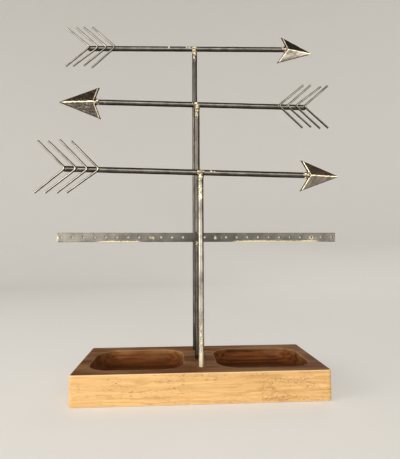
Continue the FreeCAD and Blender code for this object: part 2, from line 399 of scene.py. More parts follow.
class NodePad:
    """Bench on which one material's nodes are placed and joined."""

    def __init__(self, name: str) -> None:
        """Starts an empty material that reads the piece's own coordinates."""
        self.material = bpy.data.materials.new(name)
        self.material.use_nodes = True
        self.tree = self.material.node_tree
        self.tree.nodes.clear()
        self.place = self.add("ShaderNodeTexCoord").outputs["Object"]

    def add(self, kind: str, sockets: dict | None = None, **settings: object) -> bpy.types.Node:
        """Places a node.

        Args:
            kind: Blender's name of the node.
            sockets: For an input's name or number, a value or the output that feeds it.
            **settings: The node's own settings.

        Returns:
            The node.
        """
        node = self.tree.nodes.new(kind)
        for key, value in settings.items():
            setattr(node, key, value)
        for key, value in (sockets or {}).items():
            if isinstance(value, Socket):
                self.tree.links.new(value, node.inputs[key])
            else:
                node.inputs[key].default_value = value
        return node

    def noise(self, size: float | Triple, detail: float = 2.0, rough: float = 0.5,
              shift: float = 0.0) -> Socket:
        """Cloudy pattern, about 0 to 1.

        Args:
            size: Size of its features in millimetres, or one for each axis.
            detail: Octaves of finer detail.
            rough: Strength of the finer detail.
            shift: Distance that the pattern is moved along all axes, to tell two patterns apart.

        Returns:
            The pattern's value.
        """
        sizes = size if isinstance(size, tuple) else (size,) * 3
        scale = tuple(1.0 / (each * MM) for each in sizes)
        moved = {"Vector": self.place, "Scale": scale, "Location": (shift,) * 3}
        mapped = self.add("ShaderNodeMapping", moved)
        sockets = {"Vector": mapped.outputs[0], "Scale": 1.0, "Detail": detail, "Roughness": rough}
        return self.add("ShaderNodeTexNoise", sockets).outputs["Fac"]

    def channel(self, name: str) -> Socket:
        """Value that the mesh carries at each point."""
        return self.add("ShaderNodeAttribute", attribute_name=name).outputs["Fac"]

    def step(self, value: Socket, low: float, high: float, out_low: float = 0.0,
             out_high: float = 1.0) -> Socket:
        """Smooth step of a value from one range to another."""
        sockets = {"Value": value, "From Min": low, "From Max": high, "To Min": out_low, "To Max": out_high}
        return self.add("ShaderNodeMapRange", sockets, interpolation_type="SMOOTHSTEP").outputs[0]

    def math(self, operation: str, *values: Socket | float) -> Socket:
        """Sum, product or other plain operation on values."""
        return self.add("ShaderNodeMath", dict(enumerate(values)), operation=operation).outputs[0]

    def blend(self, share: Socket | float, first: Socket | Colour, second: Socket | Colour) -> Socket:
        """Mixes two colours by a share, which is 0 for the first."""
        colours = [each if isinstance(each, Socket) else (*each, 1.0) for each in (first, second)]
        sockets = {0: share, 6: colours[0], 7: colours[1]}
        return self.add("ShaderNodeMix", sockets, data_type="RGBA").outputs[2]

    def bump(self, height: Socket, depth: float, strength: float) -> Socket:
        """Normal that is tilted by a height map of that depth in millimetres."""
        sockets = {"Height": height, "Distance": depth * MM, "Strength": strength}
        return self.add("ShaderNodeBump", sockets).outputs[0]

    def finish(self, **sockets: Socket | float | tuple) -> bpy.types.Material:
        """Feeds the surface shader, whose inputs are named with underscores, and returns the material."""
        named = {key.replace("_", " "): value for key, value in sockets.items()}
        shader = self.add("ShaderNodeBsdfPrincipled", named)
        self.add("ShaderNodeOutputMaterial", {"Surface": shader.outputs[0]})
        return self.material


@dataclass(frozen=True)
class MetalFinish:
    """Dark satin steel with cloudy patina, rubbed to brass where it is handled or filed.

    Attributes:
        name: Name of the material.
        dark: Patina where it is thick.
        pale: Patina where it is thin.
        bare: Filed steel and painted highlights, by the channel "bare", and in specks by
            the channel "speck".
        brass: Rubbed metal and painted highlight lines, by the channel "rub".
        soot: Heat-blackened metal and painted shade, by the channel "soot".
        rim: Share of the light that is thrown back at a flat angle.
        body_rough: Roughness of the patina.
        rub_rough: Roughness of filed and rubbed metal.
        cloud_rough: Roughness that the patina's clouds add.
        matt_rough: Roughness that the channel "matt" adds.
        cloud: Size of the patina's clouds in millimetres.
        fleck: Size of the flecks that break up the rubbing.
        grit: Size of the finest pits.
        fleck_share: Share of the flecks in the pitted skin.
        grit_share: Share of the grit in it.
        speck_range: Pits where bright specks start, and where they are full.
        rub_break: How strongly the flecks break up the rubbing.
        rub_range: Where the rubbing starts to show, and where it is full.
        bump_depth: Depth of the pitted skin in millimetres.
        bump_strength: How strongly the pits tilt the surface.
    """

    name: str
    dark: Colour
    pale: Colour
    bare: Colour = (0.62, 0.575, 0.49)
    brass: Colour = (0.90, 0.80, 0.57)
    soot: Colour = (0.014, 0.011, 0.009)
    rim: Colour = (0.18, 0.165, 0.15)
    body_rough: float = 0.34
    rub_rough: float = 0.48
    cloud_rough: float = 0.12
    matt_rough: float = 0.2
    cloud: float = 11.0
    fleck: float = 1.5
    grit: float = 0.6
    fleck_share: float = 0.6
    grit_share: float = 0.4
    speck_range: Pair = (0.46, 0.62)
    rub_break: float = 1.3
    rub_range: Pair = (0.34, 0.70)
    bump_depth: float = 0.03
    bump_strength: float = 0.5

    def material(self) -> bpy.types.Material:
        """Builds the node material of this finish: patina, soot and painted shade, filed steel, painted
        highlights and specks, then rubbed brass and painted highlight lines.

        Returns:
            The material.
        """
        pad = NodePad(self.name)
        cloud = pad.noise(self.cloud, detail=4.0, rough=0.6)
        fleck = pad.noise(self.fleck, detail=4.0, rough=0.65, shift=3.7)
        grit = pad.noise(self.grit, detail=3.0, rough=0.6, shift=8.1)
        pits = pad.math("MULTIPLY_ADD", grit, self.grit_share, pad.math("MULTIPLY", fleck, self.fleck_share))
        body = pad.blend(pad.step(cloud, 0.34, 0.68), self.dark, self.pale)
        # Soot, and painted shade on wires, heads and posts.
        body = pad.blend(pad.channel("soot"), body, self.soot)
        # Filed steel, and painted highlights on wires, posts, shafts, heads and the strip.
        filed = pad.math("MULTIPLY", pad.channel("bare"), pad.step(cloud, 0.25, 0.75, 0.55, 1.35))
        filed = pad.math("MULTIPLY_ADD", pad.step(pits, *self.speck_range), pad.channel("speck"), filed)
        colour = pad.blend(filed, body, self.bare)
        broken = pad.math("SUBTRACT", fleck, 0.5)
        # Rubbed brass, and painted highlight lines on heads and the strip.
        broken = pad.math("MULTIPLY_ADD", broken, self.rub_break, pad.channel("rub"))
        rub = pad.step(broken, *self.rub_range)
        colour = pad.blend(rub, colour, self.brass)
        rough = pad.step(rub, 0.0, 1.0, self.body_rough, self.rub_rough)
        rough = pad.math("MULTIPLY_ADD", cloud, self.cloud_rough, rough)
        rough = pad.math("MULTIPLY_ADD", pad.channel("matt"), self.matt_rough, rough)
        normal = pad.bump(pits, self.bump_depth, self.bump_strength)
        return pad.finish(Base_Color=colour, Metallic=1.0, Roughness=rough, Normal=normal,
                          Specular_Tint=(*self.rim, 1.0))


@dataclass(frozen=True)
class WoodFinish:
    """Oiled light hardwood whose grain runs along X.

    Attributes:
        name: Name of the material.
        early: Pale wood between the growth lines.
        late: Darker growth lines.
        fleck: Pores and short dashes.
        oiled: Tint of the top and the hollows, by the channel "oil": partly oil that has soaked
            in, partly painted shade, which grows with the depth of the hollow.
        stain: The same along darker fibres, and the painted shade at the bottom of the trays.
        worn: Pale wood on handled edges, by the channel "edge".
        ring: Distance between two growth lines in millimetres.
        pith: Place of the tree's middle in Y and Z, in millimetres.
        stretch: How little the growth lines change along X.
        wander: How many rings the growth lines wander from their circle.
        figured: Distance to the right over which the spotted figure comes in, in millimetres.
        darkened: Gap to a post where its dark ring starts to fade and where it ends, in millimetres.
        wander_size: Size of the wandering, in millimetres along each axis.
        fibre_size: The same of the fine fibres.
        band_size: The same of the broad fibres.
        tone_size: The same of the slow changes of tone.
        pore_size: The same of the pores.
        patch_size: The same of the patches where pores and spots show.
        mottle_size: The same of the spots.
    """

    name: str
    early: Colour = (0.900, 0.575, 0.250)
    late: Colour = (0.560, 0.300, 0.105)
    fleck: Colour = (0.270, 0.130, 0.050)
    oiled: Colour = (0.235, 0.074, 0.017)
    stain: Colour = (0.052, 0.014, 0.003)
    worn: Colour = (0.97, 0.75, 0.44)
    ring: float = 5.5
    pith: Pair = (60.0, -150.0)
    stretch: float = 0.03
    wander: float = 4.5
    figured: Pair = (20.0, 85.0)
    soaked: Pair = (0.2, 2.6)
    wander_size: Triple = (80.0, 13.0, 13.0)
    fibre_size: Triple = (22.0, 0.5, 0.5)
    band_size: Triple = (110.0, 3.4, 3.4)
    tone_size: Triple = (60.0, 24.0, 24.0)
    pore_size: Triple = (4.5, 0.4, 0.4)
    patch_size: Triple = (30.0, 13.0, 13.0)
    mottle_size: Triple = (2.2, 1.5, 1.5)

    def material(self, feet: tuple[Pair, ...], foot_radius: float) -> bpy.types.Material:
        """Builds the node material: growth lines, fibres and pores, then spots, oil with painted shade on the
        top and in the hollows, dark rings round the posts and edges.

        Args:
            feet: Places in X and Y where a post stands in the wood, in millimetres.
            foot_radius: Radius of the posts.

        Returns:
            The material.
        """
        pad = NodePad(self.name)
        wander = pad.noise(self.wander_size, detail=4.0, rough=0.6)
        fibre = pad.noise(self.fibre_size, detail=4.0, rough=0.65, shift=2.3)
        band = pad.noise(self.band_size, detail=3.0, rough=0.55, shift=9.4)
        tone = pad.noise(self.tone_size, detail=2.0, shift=5.9)
        pith = (0.0, -self.pith[0] * MM, -self.pith[1] * MM)
        cut = {"Vector": pad.place, "Scale": (self.stretch, 1.0, 1.0), "Location": pith}
        cut = pad.add("ShaderNodeMapping", cut).outputs[0]
        radius = pad.add("ShaderNodeVectorMath", {0: cut}, operation="LENGTH").outputs["Value"]
        turns = pad.math("MULTIPLY", radius, 1.0 / (self.ring * MM))
        turns = pad.math("MULTIPLY_ADD", wander, self.wander, turns)
        wave = pad.math("SINE", pad.math("MULTIPLY", turns, FULL_TURN))
        line = pad.math("MULTIPLY", pad.step(wave, 0.1, 1.0), pad.step(tone, 0.4, 0.6, 0.12, 0.5))
        colour = pad.blend(line, self.early, self.late)
        colour = pad.blend(pad.step(fibre, 0.3, 0.62, 0.42, 0.0), colour, self.late)
        colour = pad.blend(pad.step(band, 0.36, 0.64, 0.34, 0.0), colour, self.late)
        pores = pad.noise(self.pore_size, detail=2.0, rough=0.5, shift=7.7)
        patch = pad.noise(self.patch_size, detail=2.0, shift=11.3)
        dashes = pad.math("MULTIPLY", pad.step(pores, 0.58, 0.67), pad.step(patch, 0.42, 0.6))
        colour = pad.blend(pad.math("MULTIPLY", dashes, 0.8), colour, self.fleck)
        mottle = pad.noise(self.mottle_size, detail=3.0, rough=0.65, shift=14.9)
        across = pad.add("ShaderNodeSeparateXYZ", {0: pad.place}).outputs[0]
        figured = pad.step(across, self.figured[0] * MM, self.figured[1] * MM, 0.25, 1.0)
        figured = pad.math("MULTIPLY", figured, pad.step(patch, 0.42, 0.58))
        spots = pad.math("MULTIPLY", figured, pad.step(mottle, 0.52, 0.66))
        colour = pad.blend(pad.math("MULTIPLY", spots, 0.72), colour, self.fleck)
        # Painted shade: the top and the trays turn darker and redder, partly as soaked-in oil.
        oil = pad.channel("oil")
        soaked = pad.math("MULTIPLY", oil, pad.step(tone, 0.36, 0.66, 1.06, 0.86))
        figure = pad.math("MULTIPLY_ADD", band, 0.55, pad.math("MULTIPLY", fibre, 0.45))
        figure = pad.blend(pad.step(figure, 0.36, 0.62), self.stain, self.oiled)
        colour = pad.blend(pad.math("MINIMUM", soaked, 1.0), colour, figure)
        colour = pad.blend(pad.step(oil, 0.95, 1.25, 0.0, 0.5), colour, self.stain)
        level = pad.add("ShaderNodeMapping", {"Vector": pad.place, "Scale": (1.0, 1.0, 0.0)}).outputs[0]
        near = None
        for x, y in feet:
            gap = pad.add("ShaderNodeVectorMath", {0: level, 1: (x * MM, y * MM, 0.0)}, operation="DISTANCE")
            gap = gap.outputs["Value"]
            near = gap if near is None else pad.math("MINIMUM", near, gap)
        inner, outer = ((foot_radius + each) * MM for each in self.soaked)
        colour = pad.blend(pad.step(near, inner, outer, 0.8, 0.0), colour, self.fleck)
        colour = pad.blend(pad.math("MULTIPLY", pad.channel("edge"), 0.7), colour, self.worn)
        rough = pad.step(fibre, 0.2, 0.8, 0.72, 0.58)
        relief = pad.math("SUBTRACT", pad.math("MULTIPLY", fibre, 0.6), dashes)
        normal = pad.bump(relief, 0.18, 0.35)
        return pad.finish(Base_Color=colour, Roughness=rough, Normal=normal, Specular_IOR_Level=0.08)


IRON = MetalFinish("blackened_iron", dark=(0.028, 0.024, 0.020), pale=(0.050, 0.044, 0.036), body_rough=0.24,
                   rub_rough=0.38)
SHEET = MetalFinish("worn_sheet", dark=(0.064, 0.043, 0.031), pale=(0.114, 0.078, 0.056), body_rough=0.36,
                    bump_depth=0.08)
STRIP = MetalFinish("gunmetal_strip", dark=(0.048, 0.044, 0.037), pale=(0.076, 0.070, 0.060), body_rough=0.40,
                    brass=(0.68, 0.57, 0.36))
WELD = MetalFinish("weld_metal", dark=(0.080, 0.064, 0.046), pale=(0.240, 0.200, 0.140), fleck=0.9,
                   bump_depth=0.06)
ZINC = MetalFinish("zinc_fastener", dark=(0.420, 0.430, 0.440), pale=(0.560, 0.570, 0.580), body_rough=0.36)
WOOD = WoodFinish("oiled_hardwood")


@dataclass(frozen=True)
class Stock:
    """Rod, wire and sheet that the stand is made of, in millimetres and degrees."""

    rod_radius: float = 3.0
    rod_chamfer: float = 0.5
    wire_radius: float = 1.1
    wire_chamfer: float = 0.25
    sheet: float = 1.5
    fold: float = 20.0


@dataclass(frozen=True)
class HeadLook:
    """How a head is hammered and worn: lengths and widths in millimetres, strengths from 0 to about 1.

    Attributes:
        hammer_length: Size of the broad dents.
        hammer_depth: Depth of the broad dents.
        peen_length: Size of the small dents.
        peen_depth: Depth of the small dents.
        step_width: Width of the step at the line of the trailing band.
        line_width: Width of the painted highlight line there.
        line_rub: Strength of that painted highlight.
        band_soot: Painted shade on the trailing band.
        rim_width: Width of the dark rim of painted shade.
        rim_soot: Strength of the painted shade on the rim.
        ridge_width: Width of the rubbed ridge.
        ridge_rub: Strength of the ridge.
        half_width: Width over which the upper half goes over into the lower half.
        upper_rub: Rubbing of the upper half, by the arrow's soot.
        upper_speck: Share of the specks that the upper half has.
        gilt_length: Size of the gilded patches of the lower half, which are partly painted light.
    """

    hammer_length: float = 10.0
    hammer_depth: float = 0.16
    peen_length: float = 4.0
    peen_depth: float = 0.10
    step_width: float = 0.14
    line_width: float = 0.42
    line_rub: float = 1.1
    band_soot: float = 0.85
    rim_width: float = 0.55
    rim_soot: float = 0.9
    ridge_width: float = 0.62
    ridge_rub: float = 0.95
    half_width: float = 0.5
    upper_rub: float = 0.42
    upper_speck: float = 0.3
    gilt_length: float = 7.0


STOCK = Stock()
HEAD = HeadLook()
VANE_LUMPS = Lumps(2.2, 0.12)
NOTCH_LUMPS = Lumps(3.0, 0.10)
CROWN_LUMPS = Lumps(1.9, 0.14)
DROP_LUMPS = Lumps(2.4, 0.13)
SPATTER_LUMPS = Lumps(1.5, 0.12)


@dataclass
class CarvedBlock:
    """Hardwood block with two scooped trays and a counterbore under each post."""

    width: float = 254.0
    depth: float = 114.0
    height: float = 30.0
    corner_radius: float = 3.0
    edge_radius: float = 1.0
    web: float = 35.0
    end_margin: float = 12.0
    side_margin: float = 16.0
    tray_depth: float = 16.0
    tray_corner: float = 24.0
    cove: float = 10.0
    rim: float = 1.5
    bore_radius: float = 6.0
    bore_depth: float = 7.0
    bore_chamfer: float = 0.4
    bore_turns: int = 48
    bore_oil: float = 0.3
    floor_sink: float = 0.5
    carving: Ripple = Ripple(34.0, 11)
    carving_depth: float = 0.35
    gouging: Ripple = Ripple(9.0, 12)
    gouging_depth: float = 0.10
    # Darker, redder tint of the top and the trays: partly oil, partly painted shade; the trays darkest.
    top_oil: float = 0.92
    tray_oil: float = 1.22
    rim_wear: float = 0.15
    oil_fade: int = 4
    arc_points: int = 14
    side_points: int = 26
    feet: tuple[Pair, ...] = ((0.0, -34.5), (-1.8, -3.5), (-2.1, 37.5))

    def half_outline(self, inset: float) -> Array:
        """Outline of the block's right half; its corners on the middle line are square.

        Args:
            inset: How far the outer sides are moved in.

        Returns:
            Points of two numbers.
        """
        half = np.array([(self.width / 2 - inset) / 2, self.depth / 2 - inset])
        radius = self.corner_radius - inset
        return rounded_loop(np.array([half[0], 0.0]), half, np.array([radius, 0.0, 0.0, radius]),
                            self.arc_points, self.side_points)

    def tray_outline(self, inset: float) -> Array:
        """Outline of the right tray.

        Args:
            inset: How far all sides are moved in.

        Returns:
            Points of two numbers.
        """
        width = (self.width - self.web) / 2 - self.end_margin
        half = np.array([width, self.depth - 2 * self.side_margin]) / 2 - inset
        centre = np.array([(self.web + width) / 2, 0.0])
        radii = np.full(4, self.tray_corner - inset)
        return rounded_loop(centre, half, radii, self.arc_points, self.side_points)

    def tray(self) -> tuple[Array, Array, Array]:
        """Scoop of the right tray.

        A profile is carried round the outline: the rim's quarter circle, the wall, the cove's quarter circle,
        and then the floor, whose rings shrink to its middle and sink a little on the way.

        Returns:
            The grid of points, the depth of each row as a share, and how far each row is on the rim.
        """
        turn = np.linspace(0.0, math.pi / 2, 9)
        wall = np.linspace(self.rim, self.tray_depth - self.cove, 5)[1:-1]
        inset = np.concatenate([self.rim * (np.sin(turn) - 1.0), 0.0 * wall,
                                self.cove * (1.0 - np.cos(turn))])
        drop = np.concatenate([self.rim * (1.0 - np.cos(turn)), wall,
                               self.tray_depth - self.cove * (1.0 - np.sin(turn))])
        loops = np.stack([self.tray_outline(each) for each in inset])
        share = np.linspace(1.0, 0.0, 12)[1:, None, None]
        middle = loops[-1].mean(axis=0)
        floor = middle + (loops[-1] - middle) * share
        sink = self.tray_depth + self.floor_sink * (1.0 - share[:, 0, 0] ** 2)
        flat = np.concatenate([loops, floor])
        depth = np.concatenate([drop, sink])
        on_rim = np.concatenate([np.sin(2 * turn), np.zeros(len(depth) - len(turn))])
        height = np.broadcast_to((self.height - depth)[:, None, None], (*flat.shape[:2], 1))
        return np.concatenate([flat, height], axis=-1), unit(depth / self.tray_depth), on_rim

    def band(self) -> tuple[Array, Array]:
        """Side faces of the right half: top edge, face and bottom edge carried along the outer outline.

        Returns:
            The grid of points, and how far each row is on an edge.
        """
        turn = np.linspace(0.0, math.pi / 2, 7)
        face = np.linspace(self.height - self.edge_radius, self.edge_radius, 9)[1:-1]
        inset = self.edge_radius * np.concatenate([1.0 - np.sin(turn), 0.0 * face, 1.0 - np.cos(turn)])
        height = np.concatenate([self.height - self.edge_radius * (1.0 - np.cos(turn)), face,
                                 self.edge_radius * (1.0 - np.sin(turn))])
        block = self.arc_points + self.side_points
        outer = np.r_[2 * block + self.arc_points - 1:4 * block, 0:block + 1]
        flat = np.stack([self.half_outline(each)[outer] for each in inset])
        upright = np.broadcast_to(height[:, None, None], (*flat.shape[:2], 1))
        on_edge = np.concatenate([np.sin(2 * turn), 0.0 * face, np.sin(2 * turn)])
        return np.concatenate([flat, upright], axis=-1), on_edge

    def add_half(self, shell: Shell, side: Side) -> None:
        """Adds the tray, the top face round it and the side faces of one half.

        The tray's walls swell in and out by the carving, and its floor rises and sinks by the gouging.

        Args:
            shell: The block's shell.
            side: Which half; the left one mirrors the right one.
        """
        mirror = np.array([side.value, 1.0, 1.0])
        scoop, hollow, on_rim = self.tray()
        scoop = scoop * mirror
        carved = self.carving_depth * self.carving.at(scoop)
        gouged = self.gouging_depth * self.gouging.at(scoop) * hollow[:, None]
        middle = scoop[-1, :1]
        outward = scoop - middle
        outward[..., 2] = 0.0
        outward /= np.maximum(np.linalg.norm(outward, axis=-1, keepdims=True), 1.0)
        scoop = scoop + outward * carved[..., None]
        scoop[..., 2] += gouged - gouged[-1].mean() * (np.arange(len(scoop)) == len(scoop) - 1)[:, None]
        scoop[-1] = scoop[-1].mean(axis=0)
        # Painted shade, partly oil: the tray darkens with its depth.
        oil = self.top_oil + (self.tray_oil - self.top_oil) * hollow[:, None]
        shell.add_grid(scoop, wrap=True, oil=oil, edge=self.rim_wear * on_rim[:, None])
        top = np.concatenate([self.half_outline(self.edge_radius),
                              np.full((len(scoop[0]), 1), self.height)], axis=1) * mirror
        share = np.linspace(0.0, 1.0, 6)[:, None, None]
        shell.add_grid(scoop[0] * (1.0 - share) + top * share, wrap=True, oil=self.top_oil)
        faces, on_edge = self.band()
        oil = self.top_oil * unit((faces[:, 0, 2] - self.height) / self.edge_radius + 1.0) ** self.oil_fade
        shell.add_grid(faces * mirror, edge=on_edge[:, None], oil=oil[:, None])

    def build(self) -> None:
        """Makes the block as one closed shell, with the bottom capped round the counterbores."""
        shell = Shell("oil", "edge")
        for side in Side:
            self.add_half(shell, side)
        radii = np.array([self.bore_radius + self.bore_chamfer, self.bore_radius, self.bore_radius, 0.0])
        heights = np.array([0.0, self.bore_chamfer, self.bore_depth, self.bore_depth])
        for x, y in self.feet:
            bore = turned_profile(radii, heights, x, y, self.bore_turns)
            shell.add_grid(bore, wrap=True, oil=self.bore_oil)
        block = shell.build("carved_block", cap_openings=True)
        finish_piece(block, Slot.WOOD, WOOD.material(self.feet, STOCK.rod_radius), "wood_base")


@dataclass
class PostRod:
    """Upright rod with a threaded stud that goes down through the block."""

    name: str
    x: float
    y: float
    top: float
    polish: float
    marks: tuple[Rub, ...]
    burns: tuple[Rub, ...]
    seed: int
    shoulder: float = 20.0
    stud_radius: float = 2.0
    stud_end: float = 2.0
    pitch: float = 0.7
    thread_depth: float = 0.3
    stud_lead: float = 0.3
    stud_break: float = 0.4
    step: float = 1.2
    dent_length: float = 13.0
    dent_depth: float = 0.035
    polish_start: float = 8.0
    polish_fade: float = 170.0
    back_rub: float = 0.35
    streaks: float = 7.0
    streak_start: float = 2.24
    streak_level: float = 0.66
    streak_depth: float = 0.34
    turns: int = 56

    def build(self, material: bpy.types.Material) -> None:
        """Carries a circle up the post: stud end, thread, shoulder and rod, with a slightly dented skin.

        The thread is a triangle wave of the radius along the stud. The front is painted bright in upright
        streaks, most at the foot, partly polish and partly a painted highlight. The streaks stop where the
        rod is burnt, which darkens it; the first dark ring of the front post, under the weld collar, is
        painted shade.

        Args:
            material: Finish of the rod.
        """
        stud = np.arange(self.stud_end + self.stud_lead, self.shoulder, self.pitch / 4)
        tooth = np.abs((stud / self.pitch) % 1.0 - 0.5) * 2.0
        rod = np.linspace(self.shoulder, self.top, int((self.top - self.shoulder) / self.step))
        height = np.concatenate([(self.stud_end, self.stud_end), stud, (self.shoulder,), rod, (self.top,)])
        reach = np.concatenate([(0.0, self.stud_radius - self.stud_break),
                                self.stud_radius - self.thread_depth * tooth,
                                (self.stud_radius,), np.full(len(rod), STOCK.rod_radius), (0.0,)])
        path = np.stack([np.full_like(height, self.x), np.full_like(height, self.y), height], axis=-1)
        tangent = np.broadcast_to((0.0, 0.0, 1.0), path.shape)
        dents = Ripple(self.dent_length, self.seed)
        skin = round_bar(path, tangent, reach, self.turns, dents, self.dent_depth)
        front = front_share(self.turns)
        rise = height - self.shoulder
        burnt = rubbed(height, self.burns)[:, None]
        # Painted highlight: bright upright streaks on the front, most at the foot, partly polish.
        polish = self.polish * (2.0 - unit(rise / self.polish_fade))[:, None]
        above = unit(rise / self.polish_start)[:, None]
        streak = np.sin(self.streaks * circle(self.turns) + self.streak_start)
        streak = self.streak_level + self.streak_depth * streak
        shell = Shell("rub", "bare", "soot")
        rub = rubbed(height, self.marks)[:, None] * at_least(front, self.back_rub)
        shell.add_grid(skin, wrap=True, rub=rub,
                       bare=polish * np.sqrt(front) * above * streak * unit(1.0 - burnt), soot=burnt)
        finish_piece(shell.build(f"{self.name}_rod"), Slot.IRON, material, self.name)


@dataclass
class Arrow:
    """Welded arrow: shaft, folded head, four wire vanes and the weld metal between them.

    Angles are in degrees. The tilt turns the whole arrow about its post, and the head's turn is about the end
    of the shaft. The vanes' splay lists, for each vane from the tail, how far its upper and lower arms lean
    away from the usual angle, and how much longer they are. Highlight lean, painted shade lean and edge shade
    lean say where round a wire its painted highlight, partly a filed line, and its two lines of painted shade
    lie, measured from the front.
    """

    name: str
    x: float
    y: float
    height: float
    side: Side
    tail_reach: float
    tip_reach: float
    vane_pitch: float
    vane_arm: float
    head_length: float
    head_width: float
    notch_depth: float
    tilt: float
    turn: float
    drops: int
    # Head finish; the lower half's bare steel and gilt are partly painted light.
    bare: float
    speck: float
    tip_rub: float
    gilt: float
    soot: float
    splay: tuple[tuple[float, float, float, float], ...]
    marks: tuple[Rub, ...]
    spatter: tuple[Pair, ...]
    crown: tuple[Triple, ...]
    seed: int
    notch_room: float = 1.4
    tail_overhang: float = 1.5
    vane_angle: float = 42.0
    bend_radius: float = 2.5
    stand_off: float = 0.1
    drop_step: float = 2.4
    drop_size: float = 2.25
    drop_shrink: float = 0.09
    drop_sway: float = 0.6
    drop_set: float = 0.78
    collar_rows: int = 14
    collar_drop: float = 4.6
    collar_height: float = 6.6
    collar_sunk: float = 0.2
    collar_flare: float = 1.5
    collar_power: float = 1.6
    collar_lump_length: float = 3.2
    collar_lump_depth: float = 0.28
    bead_sunk: float = 0.1
    edge_band: float = 1.4
    edge_step: float = 0.55
    edge_chamfer: float = 0.3
    head_points: int = 61
    head_gather: float = 1.25
    ridge_round: float = 0.6
    ridge_drop: float = 0.25
    step: float = 1.2
    dent_length: float = 15.0
    dent_depth: float = 0.04
    turns: int = 40
    wire_step: float = 0.8
    wire_dent_length: float = 8.0
    wire_dent_depth: float = 0.03
    wire_turns: int = 20
    # Where round a wire the painted highlight and the two lines of painted shade lie, in degrees from the
    # front.
    file_lean: float = -20.0
    file_twist: float = 9.0
    soot_lean: float = 65.0
    shade_lean: float = -100.0
    shade_soot: float = 0.7
    back_rub: float = 0.3

    @property
    def hub(self) -> Array:
        """Where the shaft's axis crosses the post's axis."""
        return np.array([self.x, self.y, self.height])

    @property
    def shaft_reach(self) -> float:
        """Distance from the post's axis to the shaft's end, which stands clear of the notch's two sides."""
        notch = self.tip_reach - self.head_length + self.notch_depth
        return notch - (STOCK.rod_radius + self.notch_room) * self.notch_depth * 2 / self.head_width

    def set_in_place(self, local: Array) -> Array:
        """Puts places given as reach to the head, depth and height into the frame, with the arrow's tilt."""
        return turned(self.hub + local * np.array([self.side.value, 1.0, 1.0]), self.hub, self.tilt)

    def shaft(self, material: bpy.types.Material) -> None:
        """Carries a circle from the tail to the head's notch.

        Args:
            material: Finish of the rod.
        """
        start = -(self.tail_reach + self.tail_overhang)
        length = self.shaft_reach - start
        place, reach = bar_stations(length, STOCK.rod_radius, STOCK.rod_chamfer, self.step)
        local = np.stack([start + place, 0.0 * place, 0.0 * place], axis=-1)
        tangent = np.broadcast_to((1.0, 0.0, 0.0), local.shape)
        dents = Ripple(self.dent_length, self.seed)
        skin = round_bar(local, tangent, reach, self.turns, dents, self.dent_depth)
        front = front_share(self.turns)
        shell = Shell("rub", "bare")
        rub = rubbed(start + place, self.marks)[:, None] * at_least(front, self.back_rub)
        # The front of the shaft is painted paler: partly wear, partly painted highlight.
        shell.add_grid(self.set_in_place(skin), wrap=True, rub=rub, bare=0.15 * front ** 2)
        finish_piece(shell.build(f"{self.name}_shaft_rod"), Slot.IRON, material, f"{self.name}_shaft")

    def head_stations(self, wall: float) -> tuple[Array, Array, Array]:
        """Stations of the loop that is carried along the head.

        Across the head, the share runs over the front from the lower barb to the upper barb, round the
        chamfered edge, and over the back to the lower barb again. The points gather at the ridge by a power.
        At the trailing edge the loop opens from the middle of the sheet.

        Args:
            wall: Thickness of the folded sheet, measured from front to back.

        Returns:
            Shares across the head, shares along it, and the side of the sheet, from -1 in front to 1 behind.
        """
        lip = 1.0 - 2.0 * self.edge_chamfer / wall
        even = np.linspace(-1.0, 1.0, self.head_points)
        gathered = np.sign(even) * np.abs(even) ** self.head_gather
        face = gathered * (1.0 - self.edge_chamfer / (self.head_width / 2))
        loop = np.concatenate([face, (1.0, 1.0), face[::-1], (-1.0, -1.0)])
        skin_side = np.concatenate([0.0 * face - 1.0, (-lip, lip), 0.0 * face + 1.0, (lip, -lip)])
        lines = np.concatenate([np.linspace(0.007, 0.13, 20), np.linspace(0.13, 0.97, 32)[1:]])
        along = np.concatenate([(0.0, 0.0), lines, (1.0,)])[:, None]
        thick = np.concatenate([(0.0, lip), 0.0 * lines + 1.0, (0.6,)])[:, None]
        across = np.where(thick == 0.0, np.clip(loop, face[0], face[-1]), loop)
        return across, along, thick * skin_side

    def head(self, material: bpy.types.Material) -> None:
        """Carries a loop round the folded sheet from the notched trailing edge to the tip, in straight lines.

        The sheet falls back from the ridge by the slope of the fold times the distance from the ridge, which
        is rounded, and it is hammered a little uneven. A band along the trailing edge is stepped back. The
        ridge is rubbed bright, and the band's line carries a painted highlight. The lower half is painted
        paler, partly filed steel and partly painted light, and it is sooty on some heads. The band and the
        rim carry painted shade.

        Args:
            material: Finish of the sheet.
        """
        slope = math.tan(math.radians(STOCK.fold))
        half = self.head_width / 2
        wall = STOCK.sheet / math.cos(math.radians(STOCK.fold))
        across, along, skin_side = self.head_stations(wall)
        trailing = self.tip_reach - self.head_length + self.notch_depth * (1.0 - np.abs(across))
        reach = (1.0 - along) * trailing + along * self.tip_reach
        up = (1.0 - along) * across * half
        fall = slope * (np.sqrt(up ** 2 + self.ridge_round) - self.ridge_drop)
        deep = -half * slope / 2 + fall + wall / 2 * (1.0 + skin_side)
        local = np.stack([reach, deep, up], axis=-1)
        dents = HEAD.hammer_depth * Ripple(HEAD.hammer_length, self.seed + 1).at(local)
        dents = dents + HEAD.peen_depth * Ripple(HEAD.peen_length, self.seed + 2).at(local)
        local[..., 1] += dents * unit((1.0 - along) * 3.0)
        to_heel = along * half * (self.head_length - self.notch_depth) / math.hypot(half, self.notch_depth)
        inside = fade(self.edge_band - to_heel, HEAD.step_width) * np.ones_like(up)
        local[..., 1] += self.edge_step * (1.0 - inside) * unit(np.abs(across) * 6.0)
        local = turned(local, np.array([self.shaft_reach, 0.0, 0.0]), self.turn * self.side.value)
